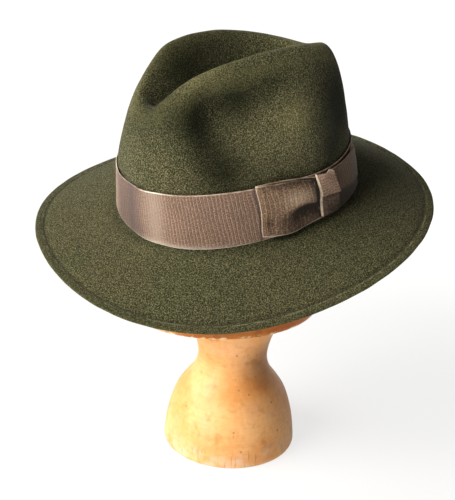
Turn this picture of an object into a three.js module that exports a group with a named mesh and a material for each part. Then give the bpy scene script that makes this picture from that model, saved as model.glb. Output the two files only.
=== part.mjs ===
// A soft felt trilby with a ribbed ribbon and a flat side bow, set aslant on a turned wooden hat stand.
// Millimetres, +Z up. The origin is the centre of the stand's round foot, on the table.
// The hat is modelled in a frame of its own, with its front at -Y, the wearer's left at +X
// and the brim's inner bend at height 0, and that whole frame is then tilted on the stand.
import * as THREE from "three";
import { mergeVertices } from "three/addons/utils/BufferGeometryUtils.js";

// How the hat sits on its stand
const HAT_PLACE = new THREE.Vector3(-1.5, -3.5, 238.7);
const HAT_PITCH = 12.9;
const HAT_ROLL = 12.0;

// Felt: one blocked piece that is both crown and brim
const FELT_THICK = 2.2;
const STATIONS = 72;
const HEAD_OVAL = { along: 100.0, across: 81.2, square: 2.27, egg: 0.01, back: 0, left: 0, up: 0 };
const BAND_OVAL = { along: 93.3, across: 71.5, square: 2.38, egg: 0.15, back: -3.4, left: 2.6, up: 44.2 };

// Brim: its width down the slope, and how far its edge hangs below the inner bend
const BRIM_WIDTH = 68.9;
const BRIM_DROP = 22.7;
const BRIM_WAVE = { front: 5.0, ends: 5.8, left: -1.4, slant: -4.1, nose: 3.1 };
const BRIM_STRAIGHT = 0.75;
// Rings across the brim: out is the share of its width, lift is the pressed edge's relief
const BRIM_RINGS = [
  { out: 1.0, lift: 0.9 },
  { out: 0.945, lift: 0.5 },
  { out: 0.89, lift: -0.5 },
  { out: 0.83, lift: 0.0 },
  { out: 0.62, lift: 0.0 },
  { out: 0.4, lift: 0.0 },
  { out: 0.18, lift: 0.0 },
  { out: 0.05, lift: 0.0 },
];
const EDGE_ROUND = 0.7;

// Crown: the soft rim round the top, from the front notch over the wearer's left to the back.
// A row for each twelfth of the way round: across, along and up in the hat's frame
const RIM = [
  { across: 0.1, along: -68.4, up: 92.7 },
  { across: 14.6, along: -59.1, up: 103.0 },
  { across: 27.6, along: -34.6, up: 120.6 },
  { across: 33.4, along: 0.9, up: 126.9 },
  { across: 32.6, along: 37.6, up: 125.2 },
  { across: 25.7, along: 65.0, up: 118.7 },
  { across: 4.4, along: 62.7, up: 110.7 },
  { across: -15.7, along: 52.2, up: 111.4 },
  { across: -29.1, along: 30.1, up: 117.4 },
  { across: -33.5, along: -1.0, up: 123.5 },
  { across: -31.3, along: -37.4, up: 122.0 },
  { across: -17.2, along: -64.8, up: 102.2 },
];
const SHOULDER = { front: 8.9, back: 19.0 };
const WALL_LEAN = 0.2;
const WALL_STEPS = [0.14, 0.28, 0.42, 0.55, 0.67, 0.78, 0.87, 0.94];

// Dent pressed into the crown's top, down to a crease along the middle
const CREASE = { front: -57, back: 44, frontUp: 87.5, middleUp: 89.5, backUp: 97 };
const RIM_ROLL = 7;
const CREASE_ROUND = 9;
const DENT_STEPS = [0.1, 0.24, 0.42, 0.62, 0.82];

// Soft relief of the crown's sides. Each row is one round push towards the middle, negative for a bulge:
// where it is, how far it reaches along, above and below, and how deep it is on each side
const PUSHES = [
  // The front pinch, where fingers lift the hat
  { along: -36, up: 95, long: 16, above: 15, below: 27, left: 14.5, right: 5.5 },
  // The hollow below the top's rim
  { along: 4, up: 101, long: 28, above: 11, below: 11, left: 3.4, right: 1.6 },
  // The broad sag of the side behind the pinch, the part of it that runs on under the rim, and its foot
  { along: -19, up: 79, long: 26, above: 24, below: 26, left: 6.5, right: 3.0 },
  { along: -8, up: 94, long: 31, above: 10, below: 24, left: 5.0, right: 2.0 },
  { along: -22, up: 62, long: 17, above: 16, below: 16, left: 2.0, right: 1.0 },
  // The full front corner, the full part of the side, and the edge where it turns to the back
  { along: -64, up: 88, long: 22, above: 12, below: 16, left: -2.0, right: -1.0 },
  { along: 30, up: 74, long: 24, above: 15, below: 21, left: -8.6, right: -4.0 },
  { along: 62, up: 72, long: 11, above: 23, below: 26, left: 3.6, right: 1.8 },
];
// Half-width of the strip along the crown's middle where a push fades out
const PUSH_SOFT = 6;

// Ribbon round the crown: it lies closest to the felt midway between the stations
const RIBBON_BACK = 0.55;
const RIBBON_THICK = 0.9;
const RIBBON_LOW = 0.7;
const RIBBON_HIGH = 44.0;
// The bow's stitches pull the ribbon's upper edge down a little
const RIBBON_DIP = { deep: 3.6, at: 112, wide: 26 };

// Bow: three flat pieces sewn on the ribbon at the wearer's left.
// Their side edges are given in degrees from the front, at the bottom and the top of the piece
const GAP = 0.3;
const BOW_BACK = RIBBON_BACK + RIBBON_THICK + GAP;
const LOOP = {
  startLow: 80.3,
  startHigh: 82.4,
  endLow: 106.4,
  endHigh: 104.9,
  lowStart: 1.6,
  lowEnd: 2.6,
  highStart: 44.8,
  highEnd: 40.0,
  thick: 2.4,
  swell: 2.4,
};
const KNOT = {
  startLow: 106.9,
  startHigh: 105.4,
  endLow: 120.2,
  endHigh: 115.4,
  lowStart: 1.2,
  lowEnd: 1.0,
  highStart: 39.6,
  highEnd: 39.4,
  thick: 4.4,
  swell: 1.6,
};
const TAIL = {
  startLow: 120.8,
  startHigh: 116.0,
  endLow: 144.0,
  endHigh: 142.0,
  lowStart: 1.6,
  lowEnd: 1.2,
  highStart: 39.6,
  highEnd: 42.0,
  thick: 0.9,
  swell: 0.5,
};
const LOOP_FOLD = { up: 18, start: 0.5, deep: 2.2, tall: 6 };

// Stand: a turned foot and waist, and an oval block on top that fills the crown's mouth
const FOOT_SIDES = 48;
// Rows up the turned profile
const FOOT_PROFILE = [
  { up: 0, radius: 59.2 },
  { up: 0.8, radius: 60.0 },
  { up: 16, radius: 58.4 },
  { up: 31, radius: 55.4 },
  { up: 47, radius: 50.0 },
  { up: 58, radius: 42.8 },
  { up: 69, radius: 34.6 },
  { up: 82, radius: 30.9 },
  { up: 97, radius: 32.8 },
  { up: 113, radius: 38.0 },
  { up: 128, radius: 44.0 },
];
const BLOCK_SIDES = 48;
const BLOCK = {
  along: 86.0,
  across: 77.3,
  square: 2.06,
  egg: 0.02,
  back: -12.3,
  left: -0.8,
  bottom: 134.8,
  top: 323.4,
};
// Rows up the block: up is the share of its height, wide the share of its lower oval
const BLOCK_PROFILE = [
  { up: 0, wide: 0.97 },
  { up: 0.006, wide: 0.992 },
  { up: 0.02, wide: 1.0 },
  { up: 0.3, wide: 0.97 },
  { up: 0.5, wide: 0.925 },
  { up: 0.66, wide: 0.86 },
  { up: 0.78, wide: 0.77 },
  { up: 0.88, wide: 0.64 },
  { up: 0.95, wide: 0.46 },
  { up: 0.99, wide: 0.24 },
];

const felt = new THREE.MeshStandardMaterial({ color: 0x4f4c32, roughness: 0.95, metalness: 0 });
const ribbon = new THREE.MeshStandardMaterial({ color: 0x8b7160, roughness: 0.8, metalness: 0 });
const wood = new THREE.MeshStandardMaterial({ color: 0xd8af72, roughness: 0.5, metalness: 0 });

// A small turn, in radians, for finding which way an outline runs
const TURN_STEP = 0.01;

// A point of an oval: turn runs in radians from the front over the wearer's left
function ovalPoint(oval, turn, up) {
  const c = Math.cos(turn);
  const s = Math.sin(turn);
  const power = 2 / oval.square;
  const across = oval.across * Math.sign(s) * Math.abs(s) ** power * (1 - oval.egg * c);
  const along = -oval.along * Math.sign(c) * Math.abs(c) ** power;
  return new THREE.Vector3(across + oval.left, along + oval.back, up);
}

// A point of the crown's straight lower wall, moved out from the felt
function wallPoint(turn, up, out = 0) {
  const low = ovalPoint(HEAD_OVAL, turn, HEAD_OVAL.up);
  const rise = ovalPoint(BAND_OVAL, turn, BAND_OVAL.up).sub(low);
  const nextLow = ovalPoint(HEAD_OVAL, turn + TURN_STEP, HEAD_OVAL.up);
  const nextRise = ovalPoint(BAND_OVAL, turn + TURN_STEP, BAND_OVAL.up).sub(nextLow);
  const share = up / BAND_OVAL.up;
  const point = low.addScaledVector(rise, share);
  const along = nextLow.addScaledVector(nextRise, share).sub(point);
  const outward = along.cross(rise).normalize();
  return point.addScaledVector(outward, out);
}

function turnOf(station) {
  return (station / STATIONS) * 2 * Math.PI;
}

function ringOf(pointAt) {
  return Array.from({ length: STATIONS }, (_, station) => pointAt(station));
}

// Height of the brim's edge below the inner bend
function brimEdgeUp(turn) {
  const wave =
    BRIM_WAVE.front * Math.cos(turn) +
    BRIM_WAVE.ends * Math.cos(2 * turn) +
    BRIM_WAVE.left * Math.sin(turn) +
    BRIM_WAVE.slant * Math.sin(2 * turn) +
    BRIM_WAVE.nose * Math.cos(3 * turn);
  return wave - BRIM_DROP;
}

function brimPoint(turn, row) {
  const start = ovalPoint(HEAD_OVAL, turn, HEAD_OVAL.up);
  const ahead = ovalPoint(HEAD_OVAL, turn + TURN_STEP, HEAD_OVAL.up);
  const along = ahead.sub(ovalPoint(HEAD_OVAL, turn - TURN_STEP, HEAD_OVAL.up));
  const outward = new THREE.Vector3(along.y, -along.x, 0).normalize();
  const edge = brimEdgeUp(turn);
  const reach = Math.sqrt(BRIM_WIDTH ** 2 - edge ** 2);
  const point = start.addScaledVector(outward, reach * row.out);
  point.z = edge * row.out * (BRIM_STRAIGHT + (1 - BRIM_STRAIGHT) * row.out) + row.lift;
  return point;
}

// Moves a point of the crown in or out by a share of its side's relief
function pushed(point, share) {
  const side = (share * point.x) / Math.hypot(point.x, PUSH_SOFT);
  const moved = point.clone();
  for (const row of PUSHES) {
    const tall = point.z > row.up ? row.above : row.below;
    const far = ((point.y - row.along) / row.long) ** 2 + ((point.z - row.up) / tall) ** 2;
    moved.x -= side * (point.x > 0 ? row.left : row.right) * Math.exp(-far);
  }
  return moved;
}

// The rings of the felt's outer face, from the brim's edge up the crown and down to the crease
function feltRings() {
  const rimCurve = new THREE.CatmullRomCurve3(
    RIM.map((row) => new THREE.Vector3(row.across, row.along, row.up)),
    true,
    "catmullrom",
    0.5,
  );
  const rim = ringOf((station) => rimCurve.getPoint(station / STATIONS));
  const outward = ringOf((station) => {
    const before = rim[(station + STATIONS - 1) % STATIONS];
    const after = rim[(station + 1) % STATIONS];
    return new THREE.Vector3(after.y - before.y, before.x - after.x, 0).normalize();
  });
  const wall = ringOf((station) => {
    const turn = turnOf(station);
    const low = ovalPoint(HEAD_OVAL, turn, HEAD_OVAL.up);
    const foot = ovalPoint(BAND_OVAL, turn, BAND_OVAL.up);
    const backShare = (1 - Math.cos(turn)) / 2;
    const shoulder = SHOULDER.front + (SHOULDER.back - SHOULDER.front) * backShare;
    const rise = rim[station].z - BAND_OVAL.up;
    const lean = foot.clone().sub(low).multiplyScalar((WALL_LEAN * rise) / BAND_OVAL.up);
    return new THREE.CubicBezierCurve3(
      foot,
      foot.clone().add(lean),
      rim[station].clone().addScaledVector(outward[station], shoulder),
      rim[station],
    );
  });
  const crease = ringOf((station) => {
    const share = (1 - Math.cos(turnOf(station))) / 2;
    const along = CREASE.front + (CREASE.back - CREASE.front) * share;
    const ends = CREASE.frontUp + (CREASE.backUp - CREASE.frontUp) * share;
    const middle = CREASE.middleUp - (CREASE.frontUp + CREASE.backUp) / 2;
    return new THREE.Vector3(0, along, ends + middle * 4 * share * (1 - share));
  });
  const dent = ringOf((station) => {
    const away = rim[station].clone().sub(crease[station]).setZ(0).normalize();
    return new THREE.CubicBezierCurve3(
      rim[station],
      rim[station].clone().addScaledVector(outward[station], -RIM_ROLL),
      crease[station].clone().addScaledVector(away, CREASE_ROUND),
      crease[station],
    );
  });
  return [
    ...BRIM_RINGS.map((row) => ringOf((station) => brimPoint(turnOf(station), row))),
    ringOf((station) => wallPoint(turnOf(station), 0)),
    ringOf((station) => wallPoint(turnOf(station), BAND_OVAL.up / 2)),
    ringOf((station) => wallPoint(turnOf(station), BAND_OVAL.up)),
    ...WALL_STEPS.map((step) => ringOf((station) => pushed(wall[station].getPoint(step), 1))),
    ringOf((station) => pushed(rim[station], 1)),
    ...DENT_STEPS.map((step) => ringOf((station) => pushed(dent[station].getPoint(step), 1 - step))),
    crease,
  ];
}

// Triangles between neighbouring rings, facing away from the side where the rings run to the left
function ringFaces(rings, closed = true) {
  const faces = [];
  for (let r = 0; r + 1 < rings.length; r += 1) {
    const count = rings[r].length;
    const last = closed ? count : count - 1;
    for (let i = 0; i < last; i += 1) {
      const j = (i + 1) % count;
      faces.push([rings[r][i], rings[r][j], rings[r + 1][j]]);
      faces.push([rings[r][i], rings[r + 1][j], rings[r + 1][i]]);
    }
  }
  return faces;
}

// A flat or pointed end: triangles from a ring to its middle point
function fanFaces(ring, middle) {
  return ring.map((point, i) => [point, ring[(i + 1) % ring.length], middle]);
}

function reversed(faces) {
  return faces.map(([a, b, c]) => [a, c, b]);
}

function geometryOf(faces) {
  const geometry = new THREE.BufferGeometry();
  geometry.setFromPoints(faces.flat());
  return mergeVertices(geometry, 1e-4);
}

// Outward normal of the felt's face. The crease is the bottom of a round valley, so there it is upright
function feltNormal(rings, ring, station) {
  if (ring === rings.length - 1) return new THREE.Vector3(0, 0, 1);
  const here = rings[ring];
  const round = here[(station + 1) % STATIONS].clone().sub(here[(station + STATIONS - 1) % STATIONS]);
  const climb = rings[ring + 1][station].clone().sub(rings[Math.max(ring - 1, 0)][station]);
  return round.cross(climb).normalize();
}

// The felt's inner face is its outer face moved in along the normals by the felt's thickness
function feltGeometry() {
  const rings = feltRings();
  const inside = rings.map((points, ring) =>
    points.map((point, station) => {
      const outward = feltNormal(rings, ring, station);
      return point.clone().addScaledVector(outward, -FELT_THICK);
    }),
  );
  const bulge = rings[0].map((point, station) => {
    const outward = point.clone().sub(rings[1][station]).normalize();
    return point.clone().lerp(inside[0][station], 0.5).addScaledVector(outward, EDGE_ROUND);
  });
  return geometryOf([
    ...ringFaces(rings),
    ...reversed(ringFaces(inside)),
    ...ringFaces([inside[0], bulge, rings[0]]),
  ]);
}

// Height of the ribbon's upper edge
function ribbonTop(turn) {
  const away = (THREE.MathUtils.radToDeg(turn) - RIBBON_DIP.at) / RIBBON_DIP.wide;
  return RIBBON_HIGH - RIBBON_DIP.deep * Math.exp(-(away ** 2));
}

function ribbonGeometry() {
  const inner = RIBBON_BACK;
  const outer = RIBBON_BACK + RIBBON_THICK;
  const section = [
    { share: 0, out: inner },
    { share: 0, out: outer },
    { share: 0.5, out: outer },
    { share: 1, out: outer },
    { share: 1, out: inner },
    { share: 0.5, out: inner },
    { share: 0, out: inner },
  ];
  const ringAt = (row) =>
    ringOf((station) => {
      const turn = turnOf(station);
      return wallPoint(turn, THREE.MathUtils.lerp(RIBBON_LOW, ribbonTop(turn), row.share), row.out);
    });
  return geometryOf(ringFaces(section.map(ringAt)));
}

// A pad that lies on the ribbon: piece gives its edges, relief adds to its thickness
function padGeometry(piece, columns, rows, relief) {
  const mix = THREE.MathUtils.lerp;
  const cell = (column, row, front) => {
    const u = column / columns;
    const v = row / rows;
    const degrees = mix(mix(piece.startLow, piece.startHigh, v), mix(piece.endLow, piece.endHigh, v), u);
    const up = mix(mix(piece.lowStart, piece.lowEnd, u), mix(piece.highStart, piece.highEnd, u), v);
    const round = Math.sin(Math.PI * u) * Math.sin(Math.PI * v);
    const out = front ? BOW_BACK + piece.thick + piece.swell * round + relief(u, up) : BOW_BACK;
    return wallPoint(THREE.MathUtils.degToRad(degrees), up, out);
  };
  const sheet = (front) =>
    Array.from({ length: rows + 1 }, (_, row) =>
      Array.from({ length: columns + 1 }, (__, column) => cell(column, row, front)),
    );
  const face = sheet(true);
  const back = sheet(false);
  const rimOf = (grid) => [
    ...grid[0],
    ...grid.slice(1).map((line) => line[columns]),
    ...grid[rows].slice(0, columns).reverse(),
    ...grid.slice(1, rows).map((line) => line[0]).reverse(),
  ];
  return geometryOf([
    ...ringFaces(face, false),
    ...reversed(ringFaces(back, false)),
    ...ringFaces([rimOf(back), rimOf(face)]),
  ]);
}

// The loop's fold runs from its middle to the knot and deepens on the way
function loopRelief(u, up) {
  const run = THREE.MathUtils.smoothstep(u, LOOP_FOLD.start, 1);
  return -LOOP_FOLD.deep * run * Math.exp(-(((up - LOOP_FOLD.up) / LOOP_FOLD.tall) ** 2));
}

function footGeometry() {
  const profile = [new THREE.Vector2(0, 0)];
  FOOT_PROFILE.forEach((row) => profile.push(new THREE.Vector2(row.radius, row.up)));
  const top = BLOCK.bottom - GAP;
  const last = FOOT_PROFILE[FOOT_PROFILE.length - 1];
  profile.push(new THREE.Vector2(last.radius + (top - last.up) / 2, top));
  profile.push(new THREE.Vector2(0, top));
  const turned = new THREE.LatheGeometry(profile, FOOT_SIDES);
  turned.rotateX(Math.PI / 2);
  return turned;
}

function blockGeometry() {
  const height = BLOCK.top - BLOCK.bottom;
  const rings = BLOCK_PROFILE.map((row) =>
    Array.from({ length: BLOCK_SIDES }, (_, side) => {
      const turn = (side / BLOCK_SIDES) * 2 * Math.PI;
      const oval = { ...BLOCK, along: BLOCK.along * row.wide, across: BLOCK.across * row.wide };
      return ovalPoint(oval, turn, BLOCK.bottom + height * row.up);
    }),
  );
  const bottom = new THREE.Vector3(BLOCK.left, BLOCK.back, BLOCK.bottom);
  const top = new THREE.Vector3(BLOCK.left, BLOCK.back, BLOCK.top);
  return geometryOf([
    ...reversed(fanFaces(rings[0], bottom)),
    ...ringFaces(rings),
    ...fanFaces(rings[rings.length - 1], top),
  ]);
}

function piece(name, geometry, material) {
  const mesh = new THREE.Mesh(geometry, material.clone());
  mesh.name = name;
  return mesh;
}

const hat = new THREE.Group();
hat.add(piece("felt_body", feltGeometry(), felt));
hat.add(piece("ribbon_band", ribbonGeometry(), ribbon));
hat.add(piece("bow_loop", padGeometry(LOOP, 10, 8, loopRelief), ribbon));
hat.add(piece("bow_knot", padGeometry(KNOT, 5, 6, () => 0), ribbon));
hat.add(piece("bow_tail", padGeometry(TAIL, 8, 5, () => 0), ribbon));
hat.position.copy(HAT_PLACE);
hat.rotation.set(THREE.MathUtils.degToRad(HAT_PITCH), THREE.MathUtils.degToRad(HAT_ROLL), 0, "XYZ");

const model = new THREE.Group();
model.add(hat);
model.add(piece("stand_block", blockGeometry(), wood));
model.add(piece("stand_foot", footGeometry(), wood));

export default model;
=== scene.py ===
"""A soft felt trilby with a ribbed ribbon and a side bow, set aslant on a turned wooden hat stand.
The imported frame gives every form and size, and each section below dresses one piece of it."""

import math

import bpy
import numpy as np
from mathutils import Matrix, Vector, noise


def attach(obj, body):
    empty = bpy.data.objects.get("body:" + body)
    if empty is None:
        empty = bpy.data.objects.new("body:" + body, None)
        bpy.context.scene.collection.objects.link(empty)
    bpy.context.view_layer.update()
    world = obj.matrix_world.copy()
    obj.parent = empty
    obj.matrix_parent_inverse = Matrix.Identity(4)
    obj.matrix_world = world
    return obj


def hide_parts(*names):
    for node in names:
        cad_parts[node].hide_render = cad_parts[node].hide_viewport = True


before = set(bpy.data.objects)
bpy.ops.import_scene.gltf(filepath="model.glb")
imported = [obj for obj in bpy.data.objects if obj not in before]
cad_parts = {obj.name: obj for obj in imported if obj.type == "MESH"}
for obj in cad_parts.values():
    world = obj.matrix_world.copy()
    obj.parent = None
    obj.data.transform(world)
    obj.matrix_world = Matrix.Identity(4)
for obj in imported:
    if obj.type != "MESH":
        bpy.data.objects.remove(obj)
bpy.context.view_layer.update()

# Stand foot: one piece of pale wood, turned on a lathe to a narrow waist and varnished.
# It stands free on its flat base and carries the hat block on its top.
# Handling has darkened it in clouds, worn its lower edge pale and left small pits.
# The right of its waist has painted shade.

MM = 0.001
# Rows up the turned profile, in mm: height and radius
FOOT_ROWS = [
    (0.8, 60.0),
    (16, 58.4),
    (31, 55.4),
    (47, 50.0),
    (58, 42.8),
    (69, 34.6),
    (82, 30.9),
    (97, 32.8),
    (113, 38.0),
    (128, 44.0),
    (134.5, 47.25),
]
# How many rows of the smooth curve each of those becomes, and how many sides the foot has
FOOT_STEPS = 3
FOOT_SIDES = 96
# Rings on the flat base, out to its edge, and how far in from the rim those on the flat top are
FOOT_BASE_RINGS = (46.0, 57.6, 59.2)
FOOT_TOP_INSETS = (1.5, 14.0)
# Pits and knocks, in mm: degrees from the front over the left, height, and width
FOOT_PITS = [
    (69, 95.8, 1.5),
    (86.6, 95.8, 1.1),
    (102.6, 93.8, 1.2),
    (101.5, 73.2, 1.3),
    (73.2, 64.9, 1.2),
    (68.8, 73.0, 1.0),
    (88.7, 72.0, 1.0),
    (85.8, 61.3, 1.4),
    (112.1, 51.3, 1.6),
    (13.4, 44.9, 1.6),
    (66.8, 33.1, 1.5),
    (112.1, 26.7, 1.8),
    (73.7, 16.0, 1.6),
]
# The part of a pit's width, and of the painted shade's reach, where it is full
PIT_FLOOR = 0.2
WAIST_SHADE_FULL = 0.1
# Painted shade on the right of the waist: degrees, height, and how far it reaches in mm
WAIST_SHADE_SPOT = (122, 84, 34)
# The lower edge is rubbed pale and scratched: the heights where that starts and where it is full, in mm
RUBBED_FROM = 22
RUBBED_FULL = 3
SCRATCHED_FROM = 30
SCRATCHED_FULL = 10
# How strongly the grain and the lathe's lines show, and how much dirt lies in both
GRAIN_SHOWS = 0.22
LINES_SHOW = 0.34
DIRT_SHOWS = 0.03
VARNISH_RELIEF = 0.0004


def as_seen(red, green, blue):
    """A colour given as it looks on a screen, 0 to 255, turned into amounts of light."""
    parts = [part / 255 for part in (red, green, blue)]
    light = [part / 12.92 if part <= 0.04045 else ((part + 0.055) / 1.055) ** 2.4 for part in parts]
    return (*light, 1.0)


class Value:
    """A socket in a finish. A sum that is written with values adds the Math nodes which work it out."""

    def __init__(self, finish, socket):
        self.finish = finish
        self.socket = socket

    def maths(self, operation, *others):
        sockets = dict(enumerate([self, *others]))
        return self.finish.add("ShaderNodeMath", {"operation": operation}, sockets)

    def __add__(self, other):
        return self.maths("ADD", other)

    def __sub__(self, other):
        return self.maths("SUBTRACT", other)

    def __mul__(self, other):
        return self.maths("MULTIPLY", other)

    def __rsub__(self, other):
        return self * -1 + other

    __radd__ = __add__
    __rmul__ = __mul__

    def wave(self):
        return self.maths("SINE")

    def least(self, other):
        return self.maths("MINIMUM", other)

    def most(self, other):
        return self.maths("MAXIMUM", other)

    def rise(self, start, end):
        """0 before start and 1 after end, or the other way round, with soft ends."""
        sockets = {"Value": self, "From Min": start, "From Max": end}
        return self.finish.add("ShaderNodeMapRange", {"interpolation_type": "SMOOTHSTEP"}, sockets)


class Finish:
    """A procedural material. Every node of it comes from add()."""

    def __init__(self, name):
        self.material = bpy.data.materials.new(name)
        self.material.use_nodes = True
        self.tree = self.material.node_tree
        self.surface = self.tree.nodes["Principled BSDF"]
        self.place = self.add("ShaderNodeTexCoord", {}, {}, "Object")

    def add(self, kind, settings, sockets, out=0):
        """A node: its settings are set first, then its sockets are filled or linked."""
        node = self.tree.nodes.new(kind)
        for name, setting in settings.items():
            setattr(node, name, setting)
        for name, value in sockets.items():
            self.feed(node.inputs[name], value)
        return Value(self, node.outputs[out])

    def feed(self, socket, value):
        if isinstance(value, Value):
            self.tree.links.new(value.socket, socket)
        else:
            socket.default_value = value

    def blend(self, share, low, high, way="MIX"):
        """The colour low where share is 0 and high where it is 1."""
        settings = {"data_type": "RGBA", "blend_type": way}
        return self.add("ShaderNodeMix", settings, {0: share, 6: low, 7: high}, 2)

    def lay(self, colour, tints, marks):
        """The colour with marks laid over it. Each has how strongly it shows, and its tint."""
        for mark, much, tint in marks:
            colour = self.blend(mark * much, colour, tints[tint])
        return colour

    def layer(self, colour, tints, layers):
        """The same for layers. Each has the noise or mark that it follows, where on that it starts and
        where it is full, how strongly it shows, and its tint."""
        marks = [(mark.rise(start, full), much, tint) for mark, start, full, much, tint in layers]
        return self.lay(colour, tints, marks)

    def cloud(self, across, along, up, detail=2.0, place=None):
        """Soft noise round 0.5, in patches of about these sizes in metres along the three axes."""
        shrink = (1 / across, 1 / along, 1 / up)
        sockets = {0: place or self.place, 1: shrink}
        spot = self.add("ShaderNodeVectorMath", {"operation": "MULTIPLY"}, sockets)
        sockets = {"Vector": spot, "Scale": 1.0, "Detail": detail}
        return self.add("ShaderNodeTexNoise", {}, sockets)

    def parts(self, vector):
        """The three numbers of a vector."""
        split = self.add("ShaderNodeSeparateXYZ", {}, {0: vector})
        outputs = split.socket.node.outputs
        return [Value(self, outputs[index]) for index in range(3)]

    def mark(self, name):
        """A number that is kept at each point of the mesh."""
        return self.add("ShaderNodeAttribute", {"attribute_name": name}, {}, "Fac")

    def wear(self, colour, roughness, height=None, depth=0.0):
        """Feeds the shader. Height runs from 0 to 1, and depth is what it stands for in metres."""
        self.feed(self.surface.inputs["Base Color"], colour)
        self.feed(self.surface.inputs["Roughness"], roughness)
        if height is not None:
            bump = self.add("ShaderNodeBump", {}, {"Height": height, "Distance": depth}, "Normal")
            self.feed(self.surface.inputs["Normal"], bump)

    def shine(self, inputs):
        """Sets the shader's own inputs, which are the same all over the surface."""
        for name, value in inputs.items():
            self.surface.inputs[name].default_value = value


def smooth_rows(rows, steps):
    """The same profile with more rows, on a curve that passes through all of them."""
    ends = [rows[0], *rows, rows[-1]]
    fine = []
    for before, low, high, after in zip(ends, ends[1:], ends[2:], ends[3:]):
        for step in range(steps):
            t = step / steps
            row = []
            for b, p, q, a in zip(before, low, high, after):
                curve = 2 * p + (q - b) * t + (2 * b - 5 * p + 4 * q - a) * t**2
                row.append((curve + (3 * p - b - 3 * q + a) * t**3) / 2)
            fine.append(tuple(row))
    return [*fine, rows[-1]]


def start_piece(name):
    """Names the primitive that was just added, and opens it for editing with all of it selected."""
    piece = bpy.context.object
    piece.name = piece.data.name = name
    bpy.ops.object.transform_apply(location=True, rotation=True, scale=True)
    bpy.ops.object.mode_set(mode="EDIT")
    bpy.ops.mesh.select_all(action="SELECT")
    return piece


def raise_rings(rows, centre=(0, 0)):
    """Extrudes the selected face up through the rows of height and width, in mm."""
    for (low, was), (high, wide) in zip(rows, rows[1:]):
        bpy.ops.mesh.extrude_region_move(TRANSFORM_OT_translate={"value": (0, 0, (high - low) * MM)})
        share = wide / was
        pivot = (centre[0] * MM, centre[1] * MM, high * MM)
        bpy.ops.transform.resize(value=(share, share, 1), center_override=pivot)


def round_off(piece, levels):
    """Applies a subdivision and smooth shading."""
    rounding = piece.modifiers.new("rounding", "SUBSURF")
    rounding.levels = rounding.render_levels = levels
    bpy.ops.object.modifier_apply(modifier=rounding.name)
    bpy.ops.object.shade_smooth()


def finish_turning(piece):
    """Points the faces outwards, closes editing, and rounds the piece off."""
    bpy.ops.mesh.select_all(action="SELECT")
    bpy.ops.mesh.normals_make_consistent(inside=False)
    bpy.ops.object.mode_set(mode="OBJECT")
    round_off(piece, 1)


def dress(piece, node, material):
    """The piece takes its material and stands for its node of the frame."""
    piece.data.materials.clear()
    piece.data.materials.append(material)
    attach(piece, "root")
    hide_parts(node)


foot_top, foot_rim = FOOT_ROWS[-1]
base_rows = [(0, ring) for ring in FOOT_BASE_RINGS]
top_rows = [(foot_top, foot_rim - inset) for inset in FOOT_TOP_INSETS]
foot_rows = [*base_rows, *smooth_rows(FOOT_ROWS, FOOT_STEPS), *top_rows]
bpy.ops.object.select_all(action="DESELECT")
bpy.ops.mesh.primitive_circle_add(vertices=FOOT_SIDES, radius=foot_rows[0][1] * MM, fill_type="NGON")
foot = start_piece("turned_foot")
raise_rings(foot_rows)
finish_turning(foot)


def foot_point(degrees, up):
    """A point on the foot's side, in metres."""
    heights = [row[0] for row in FOOT_ROWS]
    radius = float(np.interp(up, heights, [row[1] for row in FOOT_ROWS]))
    turn = math.radians(degrees)
    return (radius * math.sin(turn) * MM, -radius * math.cos(turn) * MM, up * MM)


def wood_finish(name, tints):
    """Varnished wood: clouds of warmer colours, a faint grain, and fine level lines from the lathe."""
    wood = Finish(name)
    clouds = wood.cloud(0.034, 0.034, 0.026, 3.0)
    blush = wood.cloud(0.021, 0.024, 0.018, 3.0)
    stains = wood.cloud(0.012, 0.012, 0.010, 4.0)
    mottle = wood.cloud(0.0042, 0.0042, 0.0034, 4.0)
    grain = wood.cloud(0.0030, 0.0030, 0.014, 4.0)
    lines = wood.cloud(0.045, 0.045, 0.0016, 3.0)
    layers = [
        (clouds, 0.40, 0.66, 0.65, "warm"),
        (blush, 0.50, 0.70, 0.60, "rosy"),
        (stains, 0.56, 0.76, 0.40, "dark"),
        (mottle, 0.46, 0.70, 0.34, "warm"),
        (mottle, 0.44, 0.28, 0.50, "pale"),
    ]
    colour = wood.layer(tints["pale"], tints, layers)
    colour = wood.blend((grain - 0.5) * GRAIN_SHOWS + DIRT_SHOWS, colour, tints["dark"])
    colour = wood.blend((lines - 0.5) * LINES_SHOW + DIRT_SHOWS, colour, tints["dark"])
    return wood, colour, lines


FOOT_TINTS = {
    "pale": as_seen(242, 186, 125),
    "warm": as_seen(227, 154, 83),
    "rosy": as_seen(236, 180, 133),
    "dark": as_seen(150, 96, 44),
    "rubbed_and_lit": as_seen(226, 190, 156),
    "scratched": as_seen(172, 124, 92),
    "knocked": as_seen(170, 110, 60),
    "painted_waist_shade": as_seen(134, 90, 44),
    "pitted": as_seen(166, 106, 56),
}
foot_wood, foot_colour, foot_lines = wood_finish("foot wood", FOOT_TINTS)


def away_from(point):
    """How far each place on the foot is from this point, in metres."""
    sockets = {0: foot_wood.place, 1: point}
    return foot_wood.add("ShaderNodeVectorMath", {"operation": "DISTANCE"}, sockets, "Value")


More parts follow.
